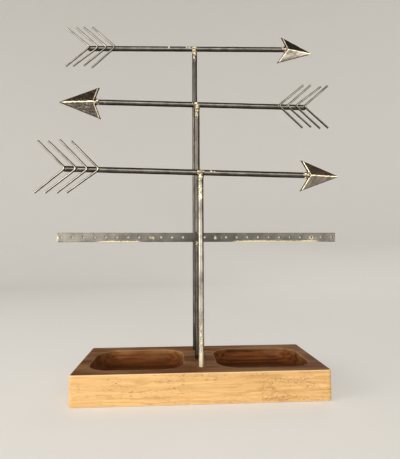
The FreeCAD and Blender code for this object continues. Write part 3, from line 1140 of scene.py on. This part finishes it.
        # Painted highlight: a bright line on the step of the trailing band.
        line = bell(to_heel - self.edge_band, HEAD.line_width)
        to_rim = half * (self.tip_reach - reach) / self.head_length - np.abs(up)
        to_rim = to_rim * math.cos(math.atan2(half, self.head_length))
        rim = bell(to_rim, HEAD.rim_width) * unit((1.0 - along) * 8.0)
        lower = fade(up, HEAD.half_width)
        ridge = HEAD.ridge_rub * bell(up, HEAD.ridge_width) * (1.0 - self.soot * unit((along - 0.82) * 8.0))
        rub = ridge + HEAD.line_rub * line + self.tip_rub * unit((along - 0.8) * 5.0)
        rub += HEAD.upper_rub * self.soot * (1.0 - lower) * inside
        # The lower half is painted paler with gilt and bare steel: partly wear, partly painted light on the
        # half that faces the light.
        gilt = Ripple(HEAD.gilt_length, self.seed + 3).at(local)
        rub += self.gilt * lower * inside * unit(gilt * 0.5 + along)
        # Painted shade: the trailing band beyond the highlight line, and a rim along the leading edges.
        dark = np.maximum(HEAD.band_soot * (1.0 - inside) * (1.0 - line), HEAD.rim_soot * rim)
        shell = Shell("rub", "bare", "speck", "soot")
        shell.add_grid(self.set_in_place(local), wrap=True, rub=rub * (1.0 - rim),
                       bare=self.bare * lower * (1.0 - dark), soot=np.maximum(dark, self.soot * lower),
                       speck=self.speck * at_least(lower, HEAD.upper_speck) * (1.0 - dark))
        finish_piece(shell.build(f"{self.name}_head_sheet"), Slot.SHEET, material, f"{self.name}_head")

    def vane(self, number: int, material: bpy.types.Material) -> None:
        """Carries a circle along a bent wire: arm, bend on the front of the shaft, arm.

        Along the wire the angle of the bend grows with the distance until the arm starts. From there the arm
        runs straight, and leans away from its angle by a small curve, as a wire bent by hand does. The wire
        carries a narrow bright line near the front, leaned and twisted towards the lit side, which is partly
        filed steel and partly a painted highlight, and painted shade on the two sides of it.

        Args:
            number: Which vane, 0 at the tail.
            material: Finish of the wire.
        """
        lean_up, lean_down, more_up, more_down = self.splay[number]
        angle = math.radians(self.vane_angle)
        sweep = math.pi / 2 - angle
        curve = self.bend_radius * sweep
        arms = np.array([self.vane_arm + more_down, self.vane_arm + more_up]) + curve
        place, reach = bar_stations(arms.sum(), STOCK.wire_radius, STOCK.wire_chamfer, self.wire_step)
        along = place - arms[0]
        bend = np.clip(along / self.bend_radius, -sweep, sweep)
        arm = np.maximum(np.abs(along) - curve, 0.0)
        upper = np.sign(along)
        lean = np.radians(np.where(along > 0.0, lean_up, lean_down)) * (1.0 - np.exp(-arm / 5.0)) * upper
        heading = upper * angle + lean
        reach_out = self.bend_radius * np.cos(bend) - self.bend_radius - arm * np.cos(heading)
        up = self.bend_radius * np.sin(bend) + arm * np.sin(heading)
        deep = np.full_like(up, -STOCK.rod_radius - self.stand_off - STOCK.wire_radius)
        local = np.stack([number * self.vane_pitch - self.tail_reach + reach_out, deep, up], axis=-1)
        tangent = np.gradient(local[1:-1], place[1:-1], axis=0)
        tangent = tangent[np.r_[0, 0:len(tangent), len(tangent) - 1]]
        tangent /= np.linalg.norm(tangent, axis=-1, keepdims=True)
        dents = Ripple(self.wire_dent_length, self.seed + 10 + number)
        skin = round_bar(local, tangent, reach, self.wire_turns, dents, self.wire_dent_depth)
        front = front_share(self.wire_turns)
        rub = 0.45 * (bell(place - place.max(), 1.6) + bell(place, 1.6)) + 0.3 * bell(along, 3.0)
        # Painted highlight: a narrow bright line leaned and twisted to the lit side of the wire; painted
        # shade on both sides of it.
        twist = self.file_twist * self.side.value * np.tanh(along / 4.0)[:, None]
        filed = front_share(self.wire_turns, self.file_lean - twist)
        sooty = np.maximum(np.sqrt(front_share(self.wire_turns, self.soot_lean)),
                           self.shade_soot * front_share(self.wire_turns, self.shade_lean))
        shell = Shell("rub", "bare", "soot", "matt")
        shell.add_grid(self.set_in_place(skin), wrap=True, rub=rub[:, None] * at_least(front, self.back_rub),
                       bare=0.85 * filed ** 9, soot=sooty, matt=0.1)
        wire = shell.build(f"{self.name}_vane_wire_{number + 1}")
        finish_piece(wire, Slot.IRON, material, f"{self.name}_vane_{number + 1}")

    def vane_beads(self, material: bpy.types.Material) -> None:
        """Puts a small lumpy blob between the shaft and each vane's bend.

        Args:
            material: Finish of the weld metal.
        """
        shell = Shell("rub", "bare")
        for number in range(len(self.splay)):
            local = np.array([number * self.vane_pitch - self.tail_reach, -STOCK.rod_radius - 0.2, 0.0])
            skin, crest = bead(local, (1.7, 1.2, 1.7), VANE_LUMPS, self.seed + 20 + number)
            shell.add_grid(self.set_in_place(skin), wrap=True, rub=0.25 + 0.4 * crest)
        finish_piece(shell.build(f"{self.name}_vane_beads"), Slot.WELD, material, f"{self.name}_vane_welds")

    def head_bead(self, material: bpy.types.Material) -> None:
        """Puts lumpy blobs round the shaft's end in the head's notch.

        Args:
            material: Finish of the weld metal.
        """
        shell = Shell("rub", "bare")
        end = self.shaft_reach
        blobs = (((end - 0.4, -0.6, 0.0), (4.2, 3.5, 3.7)), ((end - 2.6, -2.6, 0.6), (2.2, 1.4, 1.7)),
                 ((end + 0.9, -2.7, -0.8), (1.9, 1.5, 1.8)))
        for number, (place, radii) in enumerate(blobs):
            skin, crest = bead(np.array(place), radii, NOTCH_LUMPS, self.seed + 30 + number)
            shell.add_grid(self.set_in_place(skin), wrap=True, rub=0.1 + 0.55 * crest)
        finish_piece(shell.build(f"{self.name}_head_bead"), Slot.WELD, material, f"{self.name}_head_weld")

    def post_bead(self, material: bpy.types.Material) -> None:
        """Makes the collar under the shaft, the drops that ran down the post's front, and stray spatter.

        The collar is a profile carried round the post: it flares towards the shaft, and lumps add to its
        radius.

        Args:
            material: Finish of the weld metal.
        """
        shell = Shell("rub", "bare")
        rise = np.linspace(0.0, 1.0, self.collar_rows)
        heights = self.height - STOCK.rod_radius - self.collar_drop + self.collar_height * rise
        flare = STOCK.rod_radius - self.collar_sunk + self.collar_flare * rise ** self.collar_power
        collar = turned_profile(flare, heights, self.x, self.y, self.turns)
        lumps = Ripple(self.collar_lump_length, self.seed + 40).at(collar)
        flare = flare[:, None] + self.collar_lump_depth * lumps * np.sqrt(rise)[:, None]
        collar = turned_profile(flare, heights, self.x, self.y, self.turns)
        low, high = (np.broadcast_to((self.x, self.y, each), collar[:1].shape) for each in heights[[0, -1]])
        collar = np.concatenate([low, collar, high])
        crest = unit(0.45 + 0.5 * np.concatenate([lumps[:1], lumps, lumps[-1:]]))
        shell.add_grid(collar, wrap=True, rub=0.6 * crest)
        deep = -STOCK.rod_radius + self.bead_sunk
        for number, (reach, up, size) in enumerate(self.crown):
            skin, crest = bead(np.array([reach, deep, up]), (size * 1.15, size, size), CROWN_LUMPS,
                               self.seed + 90 + number)
            shell.add_grid(self.set_in_place(skin), wrap=True, rub=0.3 + 0.5 * crest)
        draw = np.random.default_rng(self.seed + 50)
        for number in range(self.drops):
            size = self.drop_size * (1.0 - self.drop_shrink * number)
            sway = draw.uniform(-self.drop_sway, self.drop_sway)
            place = np.array([self.x + sway, self.y - STOCK.rod_radius * self.drop_set,
                              self.height - STOCK.rod_radius - number * self.drop_step])
            skin, crest = bead(place, (size, size * 0.85, size * 1.05), DROP_LUMPS, self.seed + 60 + number)
            shell.add_grid(skin, wrap=True, rub=0.2 + 0.6 * crest)
        for number, (reach, size) in enumerate(self.spatter):
            skin, crest = bead(np.array([reach, deep, 0.8]), (size * 1.5, size, size), SPATTER_LUMPS,
                               self.seed + 80 + number)
            shell.add_grid(self.set_in_place(skin), wrap=True, rub=0.62 + 0.3 * crest, bare=0.6)
        finish_piece(shell.build(f"{self.name}_post_bead"), Slot.WELD, material, f"{self.name}_post_weld")

    def build(self, iron: bpy.types.Material, sheet: bpy.types.Material, weld: bpy.types.Material) -> None:
        """Makes all pieces of the arrow.

        Args:
            iron: Finish of the shaft and the vanes.
            sheet: Finish of the head.
            weld: Finish of the weld metal.
        """
        self.shaft(iron)
        self.head(sheet)
        for number in range(len(self.splay)):
            self.vane(number, iron)
        self.vane_beads(weld)
        self.head_bead(weld)
        self.post_bead(weld)


@dataclass
class EarringBar:
    """Drilled flat strip across the front of the middle post, and its weld metal."""

    height: float = 162.7
    width: float = 10.0
    thickness: float = 2.5
    front: float = -8.6
    end_margin: float = 4.0
    holes: int = 26
    pitch: float = 12.0
    hole_radius: float = 1.25
    post_x: float = -1.8
    cell_steps: int = 8
    cell_rings: int = 7
    ring_gather: float = 1.2
    edge_radius: float = 0.3
    edge_segments: int = 2
    hole_wear: float = 0.32
    end_wear: float = 0.8
    back_wear: float = 0.5
    low_band: float = 1.3
    face_line: float = -0.8
    face_band: float = 3.2
    top_wear: float = 0.35
    top_band: float = 0.6
    edge_wear: Pair = (0.9, 0.3)
    # Bare steel towards both ends: partly handling, partly painted reflection.
    handled: tuple[Triple, ...] = ((0.22, -5.0, -140.0), (0.18, 20.0, 118.0))
    handled_most: float = 1.1
    bead_seed: int = 600
    lower_marks: tuple[Rub, ...] = (Rub(-140.0, 12.0, 0.5), Rub(-98.0, 16.0, 1.0), Rub(-72.0, 12.0, 0.8),
                                    Rub(58.0, 22.0, 1.2), Rub(90.0, 22.0, 0.9), Rub(122.0, 14.0, 1.1))
    face_marks: tuple[Rub, ...] = (Rub(-154.5, 2.4, 0.95), Rub(-50.5, 1.7, 0.55), Rub(18.0, 1.7, 0.45),
                                   Rub(25.0, 1.5, 0.4), Rub(128.0, 8.0, 0.42))

    def cells(self) -> tuple[Array, Array]:
        """One ring of points round each hole, from the hole out to the edges of its share of the strip.

        The hole's circle and the share's rectangle have the same number of points, starting at the same
        corner, and the rings between them are straight mixes of the two.

        Returns:
            Distances along the strip and heights, each as holes by rings by points.
        """
        centres = (np.arange(self.holes) - (self.holes - 1) / 2) * self.pitch
        left = np.full(self.holes, -self.pitch / 2)
        right = np.full(self.holes, self.pitch / 2)
        left[0], right[-1] = -self.end_margin, self.end_margin
        step = np.linspace(0.0, 1.0, self.cell_steps, endpoint=False)
        ahead = np.concatenate([step, np.ones(self.cell_steps), 1.0 - step, np.zeros(self.cell_steps)])
        aloft = np.concatenate([np.zeros(self.cell_steps), step, np.ones(self.cell_steps), 1.0 - step])
        box_x = centres[:, None] + left[:, None] + (right - left)[:, None] * ahead
        box_z = np.broadcast_to(self.width * (aloft - 0.5), box_x.shape)
        angle = -0.75 * math.pi + circle(4 * self.cell_steps)
        hole_x = centres[:, None] + self.hole_radius * np.cos(angle)
        hole_z = self.hole_radius * np.sin(angle)
        share = np.linspace(0.0, 1.0, self.cell_rings)[:, None] ** self.ring_gather
        x = hole_x[:, None, :] * (1.0 - share) + box_x[:, None, :] * share
        z = hole_z * (1.0 - share) + box_z[:, None, :] * share
        return x, z

    def ribbon(self, x: Array, z: Array | float) -> Array:
        """Grid of two rows, at the front and the back of the strip, through places in X and Z."""
        deep = np.array([[self.front], [self.front + self.thickness]])
        return np.stack(np.broadcast_arrays(x, deep, z + self.height), axis=-1)

    def strip(self, material: bpy.types.Material) -> None:
        """Makes front, back, hole walls and edges of the strip as one closed shell.

        The face is rubbed by bell curves along it, in a band at its lower edge and one at its middle, and it
        is paler along its top edge, partly wear and partly a painted highlight. It is painted bare more and
        more towards both ends, partly handling and partly a painted reflection: each end's strength grows
        evenly from a place over a run.

        Args:
            material: Finish of the strip.
        """
        x, z = self.cells()
        shell = Shell("rub", "bare")
        low = bell(z + self.width / 2, self.low_band)
        drilled = np.zeros_like(x)
        drilled[:, :2] = self.hole_wear
        on_face = bell(z - self.face_line, self.face_band)
        rub = low * rubbed(x, self.lower_marks) + rubbed(x, self.face_marks) * on_face
        # Painted highlight: a pale band along the top edge, partly wear.
        upper = self.top_wear * np.exp(-(self.width / 2 - z) / self.top_band)
        # Painted reflection: bare steel that grows towards both ends, partly handling.
        handled = sum(strength * np.clip((x - start) / run, 0.0, self.handled_most)
                      for strength, start, run in self.handled)
        back = self.front + self.thickness
        for deep, wear in ((self.front, rub + upper + drilled), (back, self.back_wear * low + drilled)):
            face = np.stack([x, np.full_like(x, deep), z + self.height], axis=-1)
            for cell, worn, thin in zip(face, wear, handled):
                shell.add_grid(cell, wrap=True, rub=worn, bare=thin)
        for ring_x, ring_z in zip(x[:, 0], z[:, 0]):
            shell.add_grid(self.ribbon(ring_x, ring_z), wrap=True)
        steps = self.cell_steps
        lower_x = x[:, -1, :steps + 1].reshape(-1)
        upper_x = x[:, -1, 2 * steps:3 * steps + 1][:, ::-1].reshape(-1)
        edges = ((lower_x, -self.width / 2), (upper_x, self.width / 2))
        for (run_x, run_z), wear in zip(edges, self.edge_wear):
            shell.add_grid(self.ribbon(run_x, run_z), rub=wear * rubbed(run_x, self.lower_marks))
        for cell, first in ((0, 3 * steps), (-1, steps)):
            pick = np.r_[first:first + steps, (first + steps) % (4 * steps)]
            shell.add_grid(self.ribbon(x[cell, -1, pick], z[cell, -1, pick]), rub=self.end_wear)
        strip = shell.build("drilled_strip")
        ease_edges(strip, self.edge_radius, self.edge_segments)
        finish_piece(strip, Slot.STRIP, material, "earring_bar")

    def beads(self, material: bpy.types.Material) -> None:
        """Puts a lumpy blob over the strip and a run of drops under it, on the front of the post.

        Args:
            material: Finish of the weld metal.
        """
        shell = Shell("rub", "bare")
        middle = self.front + self.thickness / 2
        low, high = self.height - self.width / 2, self.height + self.width / 2
        places = [(0.0, high, 2.3), (0.3, low, 2.5), (-0.4, low - 2.6, 2.35), (0.2, low - 5.0, 2.05)]
        for number, (sway, z, size) in enumerate(places):
            place = np.array([self.post_x + sway, middle + 0.1, z])
            skin, crest = bead(place, (size, size, size), DROP_LUMPS, self.bead_seed + number)
            shell.add_grid(skin, wrap=True, rub=0.05 + 0.5 * crest)
        finish_piece(shell.build("drilled_strip_beads"), Slot.WELD, material, "earring_bar_weld")

    def build(self, strip: bpy.types.Material, weld: bpy.types.Material) -> None:
        """Makes the strip and its weld metal."""
        self.strip(strip)
        self.beads(weld)


@dataclass
class Fixings:
    """Washers and hex nuts on the studs, in the counterbores under the block."""

    feet: tuple[Pair, ...]
    washer_radius: float = 4.5
    washer_thickness: float = 0.8
    washer_base: float = 6.2
    bore_radius: float = 2.2
    nut_flats: float = 7.0
    nut_height: float = 3.2
    nut_base: float = 3.0
    nut_bore: float = 2.05
    washer_ease: float = 0.15
    nut_ease: float = 0.35
    face_ease: float = 0.12
    bore_ease: float = 0.3
    washer_turns: int = 48
    nut_turns: int = 72

    def washers(self, material: bpy.types.Material) -> None:
        """Carries a flat ring's section, with broken edges, round each stud.

        Args:
            material: Finish of the washers.
        """
        low, high, ease = self.washer_base, self.washer_base + self.washer_thickness, self.washer_ease
        outer, inner = self.washer_radius, self.bore_radius
        radii = np.array([inner, inner + ease, outer - ease, outer,
                          outer, outer - ease, inner + ease, inner, inner])
        heights = np.array([low + ease, low, low, low + ease,
                            high - ease, high, high, high - ease, low + ease])
        shell = Shell("rub", "bare")
        for x, y in self.feet:
            shell.add_grid(turned_profile(radii, heights, x, y, self.washer_turns), wrap=True)
        finish_piece(shell.build("stud_washers"), Slot.ZINC, material, "post_washers")

    def nuts(self, material: bpy.types.Material) -> None:
        """Carries a nut's section round each stud.

        The outer radius is that of a hexagon, half the flats over the cosine of the angle from the nearest
        flat. Near the two faces a cone cuts its corners down.

        Args:
            material: Finish of the nuts.
        """
        angle = circle(self.nut_turns)
        flat = self.nut_flats / 2
        hexagon = flat / np.cos((angle % (math.pi / 3)) - math.pi / 6)
        low, high, ease = self.nut_base, self.nut_base + self.nut_height, self.nut_ease
        face = np.full_like(angle, flat * 0.96)
        crown = np.minimum(hexagon, flat * 1.04)
        bore = np.full_like(angle, self.nut_bore)
        mouth = bore + self.bore_ease
        radii = np.stack([bore, mouth, face, crown, hexagon, hexagon, crown, face, mouth, bore, bore])
        heights = np.array([low + self.bore_ease, low, low, low + self.face_ease, low + ease,
                            high - ease, high - self.face_ease, high, high, high - self.bore_ease,
                            low + self.bore_ease])
        shell = Shell("rub", "bare")
        for x, y in self.feet:
            shell.add_grid(turned_profile(radii, heights, x, y, self.nut_turns), wrap=True)
        finish_piece(shell.build("stud_nuts"), Slot.ZINC, material, "post_nuts")

    def build(self, material: bpy.types.Material) -> None:
        """Makes the washers and the nuts."""
        self.washers(material)
        self.nuts(material)


@dataclass(frozen=True)
class Lamp:
    """Soft rectangular lamp, in metres and watts."""

    name: str
    place: Triple
    target: Triple
    width: float
    height: float
    power: float
    colour: Colour = (1.0, 1.0, 1.0)

    def build(self) -> None:
        """Makes the lamp, turned to its target."""
        light = bpy.data.lights.new(self.name, "AREA")
        light.shape = "RECTANGLE"
        light.size = self.width
        light.size_y = self.height
        light.energy = self.power
        light.color = self.colour
        lamp = bpy.data.objects.new(self.name, light)
        lamp.location = self.place
        aim = Vector(self.target) - Vector(self.place)
        lamp.rotation_euler = aim.to_track_quat("-Z", "Y").to_euler()
        bpy.context.scene.collection.objects.link(lamp)


@dataclass
class Studio:
    """Pale round sweep, soft lamps and the camera.

    The camera's angles are in degrees, its place in millimetres and its focal length in pixels of an image
    that is 459 pixels high. The sweep is in metres, and its gap under the stand in millimetres.
    """

    camera_place: Triple = (-27.8, -446.7, 142.7)
    yaw: float = 3.747
    pitch: float = 3.733
    roll: float = -0.216
    focal_pixels: float = 397.35
    image_height: float = 459.0
    sensor: float = 36.0
    nearest: float = 0.01
    floor_gap: float = 0.2
    floor_radius: float = 1.5
    bend_radius: float = 0.8
    wall_height: float = 1.6
    bend_rows: int = 16
    sweep_turns: int = 96
    pale: Colour = (0.60, 0.575, 0.535)
    lift: float = 0.52
    air: Colour = (0.9, 0.92, 0.95)
    air_strength: float = 0.13
    lamps: tuple[Lamp, ...] = (
        Lamp("key", (-0.12, -1.60, 0.62), (0.0, 0.0, 0.24), 1.95, 0.84, 24.0, (1.0, 0.985, 0.96)),
        Lamp("side", (-1.52, -0.70, 0.58), (0.0, 0.0, 0.22), 1.00, 0.84, 15.5, (1.0, 0.985, 0.96)),
        Lamp("rear", (0.80, 1.40, 1.00), (0.0, 0.0, 0.15), 0.90, 0.90, 4.5),
        Lamp("sky", (0.0, 0.10, 1.60), (0.0, 0.0, 0.0), 1.40, 1.40, 1.0),
    )

    def sweep(self) -> None:
        """Carries a profile round: flat floor, quarter-circle bend, upright wall."""
        turn = np.linspace(0.0, math.pi / 2, self.bend_rows)
        radii = np.concatenate([(0.0,), self.floor_radius + self.bend_radius * np.sin(turn),
                                (self.floor_radius + self.bend_radius,)]) / MM
        heights = np.concatenate([(0.0,), self.bend_radius * (1.0 - np.cos(turn)),
                                  (self.bend_radius + self.wall_height,)]) / MM
        shell = Shell()
        profile = turned_profile(radii, heights - self.floor_gap, 0.0, 0.0, self.sweep_turns)
        shell.add_grid(profile, wrap=True)
        floor = shell.build("studio_sweep")
        floor.data.materials.append(self.sweep_material())

    def sweep_material(self) -> bpy.types.Material:
        """Pale matt paper that shows a little brighter to the eye than it lights the stand.

        Returns:
            The material.
        """
        pad = NodePad("pale_paper")
        rays = pad.add("ShaderNodeLightPath")
        seen = pad.math("MAXIMUM", rays.outputs["Is Camera Ray"], rays.outputs["Is Glossy Ray"])
        seen = pad.math("MAXIMUM", seen, rays.outputs["Is Transmission Ray"])
        lift = pad.math("MULTIPLY", seen, self.lift)
        return pad.finish(Base_Color=(*self.pale, 1.0), Roughness=0.9, Specular_IOR_Level=0.1,
                          Emission_Color=(*self.pale, 1.0), Emission_Strength=lift)

    def camera(self) -> None:
        """Sets the camera at the photographed angle."""
        yaw, pitch, roll = (math.radians(each) for each in (self.yaw, self.pitch, self.roll))
        level = math.cos(pitch)
        ahead = np.array([math.sin(yaw) * level, math.cos(yaw) * level, math.sin(pitch)])
        right = np.array([math.cos(yaw), -math.sin(yaw), 0.0])
        up = np.cross(right, ahead)
        axes = (math.cos(roll) * right + math.sin(roll) * up,
                math.cos(roll) * up - math.sin(roll) * right, -ahead)
        pose = np.eye(4)
        pose[:3, :3] = np.stack(axes, axis=1)
        pose[:3, 3] = np.array(self.camera_place) * MM
        lens = bpy.data.cameras.new("camera")
        lens.sensor_width = self.sensor
        lens.lens = self.focal_pixels / self.image_height * self.sensor
        lens.clip_start = self.nearest
        camera = bpy.data.objects.new("camera", lens)
        camera.matrix_world = Matrix(pose.tolist())
        bpy.context.scene.collection.objects.link(camera)
        bpy.context.scene.camera = camera

    def build(self) -> None:
        """Makes the sweep, the lamps and the camera, and sets the plain view."""
        scene = bpy.context.scene
        scene.view_settings.view_transform = "Standard"
        world = bpy.data.worlds.new("studio_air")
        world.use_nodes = True
        sockets = world.node_tree.nodes["Background"].inputs
        sockets["Color"].default_value = (*self.air, 1.0)
        sockets["Strength"].default_value = self.air_strength
        scene.world = world
        self.sweep()
        for lamp in self.lamps:
            lamp.build()
        self.camera()


POSTS = (
    PostRod("front_post", 0.0, -34.5, 229.0, 0.62,
            (Rub(214.0, 6.0, 0.42), Rub(204.0, 6.0, 0.52), Rub(180.0, 9.0, 0.3), Rub(46.0, 34.0, 0.5),
             Rub(100.0, 36.0, 0.3), Rub(33.0, 10.0, 0.5)),
            # The first dark ring is painted shade under the weld collar; the other two are burns.
            (Rub(221.3, 1.0, 0.95), Rub(211.0, 7.0, 0.6), Rub(193.0, 11.0, 0.55)), seed=101),
    PostRod("middle_post", -1.8, -3.5, 314.0, 0.12, (Rub(304.0, 12.0, 0.4), Rub(158.0, 10.0, 0.3)),
            (Rub(32.0, 2.5, 0.6),), seed=102),
    PostRod("rear_post", -2.1, 37.5, 401.5, 0.12, (Rub(390.0, 12.0, 0.4),),
            (Rub(32.0, 2.5, 0.6),), seed=103),
)
FRONT_SPLAY = ((1.9, -0.8, -0.6, -0.4), (0.8, -1.9, 0.0, 0.0),
               (2.8, -2.1, 1.0, -0.4), (2.0, -4.0, 0.4, 0.6))
MIDDLE_SPLAY = ((-0.5, 0.0, 0.0, 0.0), (-4.0, 0.4, 0.8, 0.8),
                (0.0, -0.6, 0.0, -0.6), (-1.7, 0.8, 1.0, 0.0))
TOP_SPLAY = ((-1.8, -1.9, -1.6, 0.8), (0.0, -3.9, -0.8, 2.0),
             (-0.7, -1.9, 0.3, -0.3), (0.0, 0.3, 0.0, 2.0))
ARROWS = (
    Arrow("front_arrow", 0.0, -34.5, 229.7, Side.RIGHT,
          tail_reach=139.7, tip_reach=148.0, vane_pitch=11.4, vane_arm=37.5,
          head_length=40.0, head_width=34.0, notch_depth=8.3, tilt=1.0, turn=1.9, drops=3,
          bare=0.26, speck=0.10, tip_rub=0.0, gilt=0.0, soot=0.0, splay=FRONT_SPLAY,
          marks=(Rub(0.0, 4.0, 0.5),), spatter=((11.0, 0.95), (14.5, 0.6)),
          crown=((0.0, 0.9, 1.6), (-2.4, 0.5, 1.2), (2.4, 0.6, 1.2), (0.3, -2.0, 1.3)), seed=200),
    Arrow("middle_arrow", -1.8, -3.5, 314.5, Side.LEFT,
          tail_reach=124.8, tip_reach=153.6, vane_pitch=9.9, vane_arm=34.7,
          head_length=44.0, head_width=36.7, notch_depth=5.5, tilt=0.3, turn=-3.2, drops=5,
          bare=0.04, speck=0.23, tip_rub=0.0, gilt=0.0, soot=0.68, splay=MIDDLE_SPLAY,
          marks=(Rub(0.0, 4.0, 0.3), Rub(104.0, 3.0, 0.35)), spatter=((5.0, 0.5),),
          crown=((0.4, 0.4, 1.5), (1.8, 1.1, 1.0), (-0.4, -1.8, 1.3)), seed=300),
    Arrow("top_arrow", -2.1, 37.5, 402.0, Side.RIGHT,
          tail_reach=130.2, tip_reach=150.0, vane_pitch=10.3, vane_arm=34.6,
          head_length=41.0, head_width=34.7, notch_depth=9.0, tilt=-1.4, turn=11.4, drops=5,
          bare=0.37, speck=0.10, tip_rub=0.5, gilt=0.36, soot=0.0, splay=TOP_SPLAY,
          marks=(Rub(-6.0, 6.0, 0.35), Rub(-31.0, 4.0, 0.35)),
          spatter=((-6.5, 1.0), (-10.0, 0.7), (-32.0, 0.8)),
          crown=((-0.2, 0.8, 1.5), (1.6, -0.2, 1.1), (-2.3, 0.6, 1.1), (0.8, -2.0, 1.2)), seed=400),
)


def main() -> None:
    """Builds the stand's sub-assemblies and the studio."""
    logging.basicConfig(level=logging.INFO, format="%(name)s: %(message)s")
    iron, sheet, strip, weld, zinc = (finish.material() for finish in (IRON, SHEET, STRIP, WELD, ZINC))
    block = CarvedBlock()
    block.build()
    for post in POSTS:
        post.build(iron)
    for arrow in ARROWS:
        arrow.build(iron, sheet, weld)
    EarringBar().build(strip, weld)
    Fixings(block.feet).build(zinc)
    Studio().build()


if __name__ == "__main__":
    main()
